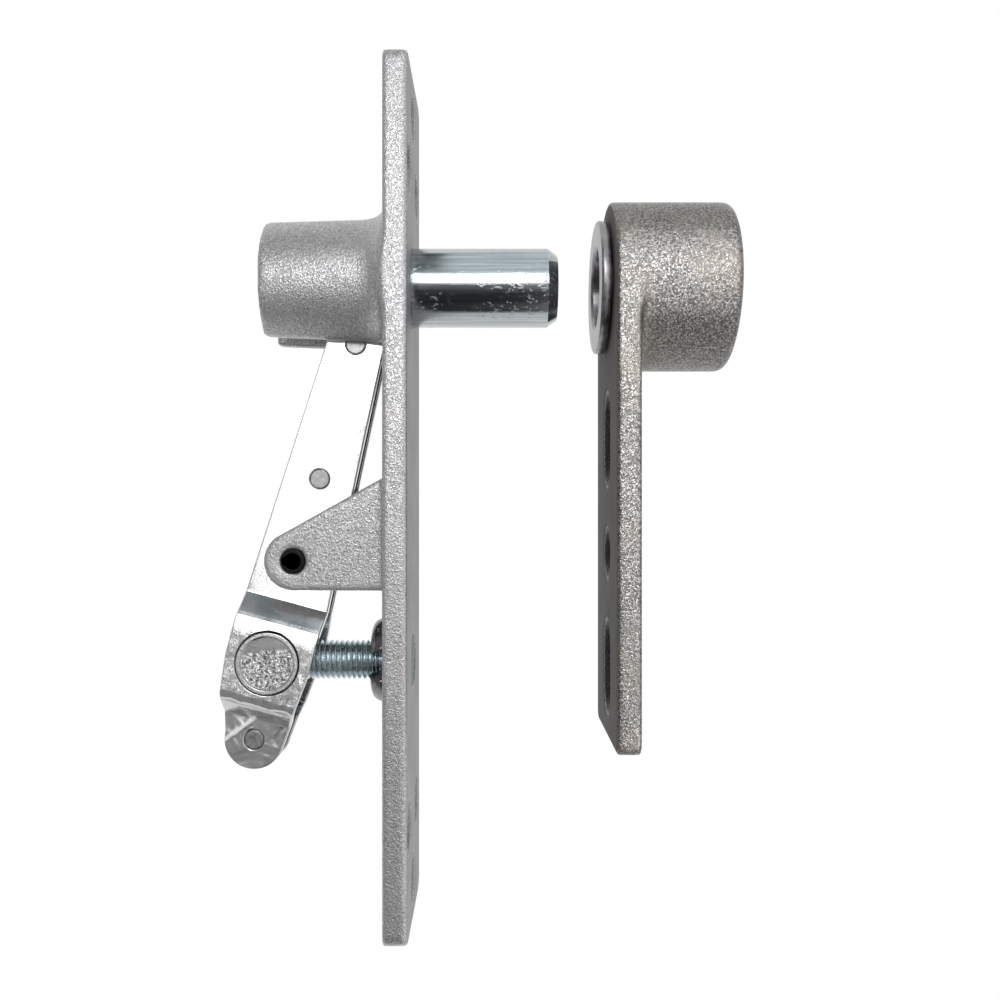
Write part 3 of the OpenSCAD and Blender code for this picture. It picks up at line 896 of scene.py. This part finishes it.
def studio_world(room, dim):
    """White backdrop to the camera; metal shows it too, with the dimmer room in front."""
    world = bpy.data.worlds.new("studio")
    world.use_nodes = True
    tree = world.node_tree
    tree.nodes.clear()
    end = tree.nodes.new("ShaderNodeOutputWorld")
    even = tree.nodes.new("ShaderNodeBackground")
    even.inputs["Color"].default_value = (1, 1, 1, 1)
    even.inputs["Strength"].default_value = room
    white = tree.nodes.new("ShaderNodeBackground")
    white.inputs["Color"].default_value = (1, 1, 1, 1)
    place = tree.nodes.new("ShaderNodeTexCoord")
    split = tree.nodes.new("ShaderNodeSeparateXYZ")
    tree.links.new(place.outputs["Generated"], split.inputs[0])
    fade = tree.nodes.new("ShaderNodeMapRange")
    fade.interpolation_type = "SMOOTHSTEP"
    tree.links.new(split.outputs["Y"], fade.inputs["Value"])
    for name, value in (("From Min", -0.35), ("From Max", 0.1), ("To Min", dim), ("To Max", 1.0)):
        fade.inputs[name].default_value = value
    rays = tree.nodes.new("ShaderNodeLightPath")
    level = tree.nodes.new("ShaderNodeMix")
    tree.links.new(rays.outputs["Is Camera Ray"], level.inputs["Factor"])
    tree.links.new(fade.outputs[0], level.inputs[2])
    level.inputs[3].default_value = 1
    tree.links.new(level.outputs[0], white.inputs["Strength"])
    both = tree.nodes.new("ShaderNodeMixShader")
    tree.links.new(white_to_the_eye(tree), both.inputs[0])
    tree.links.new(even.outputs[0], both.inputs[1])
    tree.links.new(white.outputs[0], both.inputs[2])
    tree.links.new(both.outputs[0], end.inputs[0])
    return world


class HINGE_OT_stage(bpy.types.Operator):
    """Set up the floor, the lamps, the surroundings and the camera"""

    bl_idname = "hinge.stage"
    bl_label = "Stage"

    def execute(self, context):
        stage = context.scene.hinge_stage
        low, high = CAD_BOX
        form = bmesh.new()
        bmesh.ops.create_grid(form, x_segments=2, y_segments=2, size=1.6)
        floor = mesh_object("floor", form, floor_finish())
        floor.location.z = low.z - 0.0004

        middle = ((low.x + high.x) / 2, 0, (low.z + high.z) / 2)
        area_lamp("key", (0.06, -0.56, -0.02), middle, (0.36, 0.50), stage.key)
        area_lamp("strip", (0.19, -0.54, -0.02), middle, (0.05, 0.50), stage.key * 0.3)
        area_lamp("top", (0.42, -0.26, -0.10), middle, (0.25, 0.30), stage.fill)
        area_lamp("right", (0.05, -0.26, -0.47), middle, (0.30, 0.25), stage.side)

        card("card_low", (-0.23, -0.27, -0.02), (0, 0, -0.02), 0.7, 0.20, (0.035, 0.038, 0.042))
        card("card_high", (0.29, -0.11, -0.02), (-0.06, 0, -0.02), 0.5, 0.12, (0.34, 0.40, 0.42))
        # card_pin glows softly: only the metal's reflections see it, and it gives the pin's pale upper band
        # while lighting nothing.
        card("card_pin", (0.12, -0.05, -0.026), (0, 0, -0.026), 0.21, 0.052, (0.66, 0.72, 0.75), 1)

        context.scene.world = studio_world(stage.room, stage.dim)

        data = bpy.data.cameras.new("camera")
        data.sensor_width = 36
        data.lens = stage.scale * stage.distance * 36
        data.shift_x, data.shift_y = 0.009, 0.003
        data.clip_start = 0.01
        camera = bpy.data.objects.new("camera", data)
        context.scene.collection.objects.link(camera)
        place = Vector((-0.044, -stage.distance, -0.0159))
        axes = Matrix(((0, 1, 0), (0, 0, -1), (-1, 0, 0))).to_4x4()
        camera.matrix_world = Matrix.Translation(place) @ axes
        context.scene.camera = camera
        context.scene.view_settings.view_transform = "Standard"
        return {"FINISHED"}


OPERATORS = (
    HINGE_OT_frame_leaf,
    HINGE_OT_pivot_pin,
    HINGE_OT_rocking_beam,
    HINGE_OT_fulcrum_pin,
    HINGE_OT_trunnion_nut,
    HINGE_OT_adjusting_screw,
    HINGE_OT_retaining_ring,
    HINGE_OT_door_leaf,
    HINGE_OT_bushing,
    HINGE_OT_stage,
)


class HINGE_PT_pieces(bpy.types.Panel):
    """Lists the hinge's pieces and sizes"""

    bl_label = "Pivot Hinge"
    bl_idname = "HINGE_PT_pieces"
    bl_space_type = "VIEW_3D"
    bl_region_type = "UI"
    bl_category = "Hinge"

    def draw(self, context):
        layout = self.layout
        for operator in OPERATORS:
            layout.operator(operator.bl_idname)
        for group in ("hinge_sizes", "hinge_colours", "hinge_stage"):
            values = getattr(context.scene, group)
            box = layout.box()
            for name in values.bl_rna.properties.keys():
                if name not in ("rna_type", "name"):
                    box.prop(values, name)


CLASSES = (HingeSizes, HingeColours, HingeStage, *OPERATORS, HINGE_PT_pieces)


def register():
    for each in CLASSES:
        bpy.utils.register_class(each)
    bpy.types.Scene.hinge_sizes = PointerProperty(type=HingeSizes)
    bpy.types.Scene.hinge_colours = PointerProperty(type=HingeColours)
    bpy.types.Scene.hinge_stage = PointerProperty(type=HingeStage)


def unregister():
    del bpy.types.Scene.hinge_stage
    del bpy.types.Scene.hinge_colours
    del bpy.types.Scene.hinge_sizes
    for each in reversed(CLASSES):
        bpy.utils.unregister_class(each)


def main():
    """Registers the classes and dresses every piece."""
    register()
    for operator in OPERATORS:
        group, name = operator.bl_idname.split(".")
        getattr(getattr(bpy.ops, group), name)()


if __name__ == "__main__":
    main()
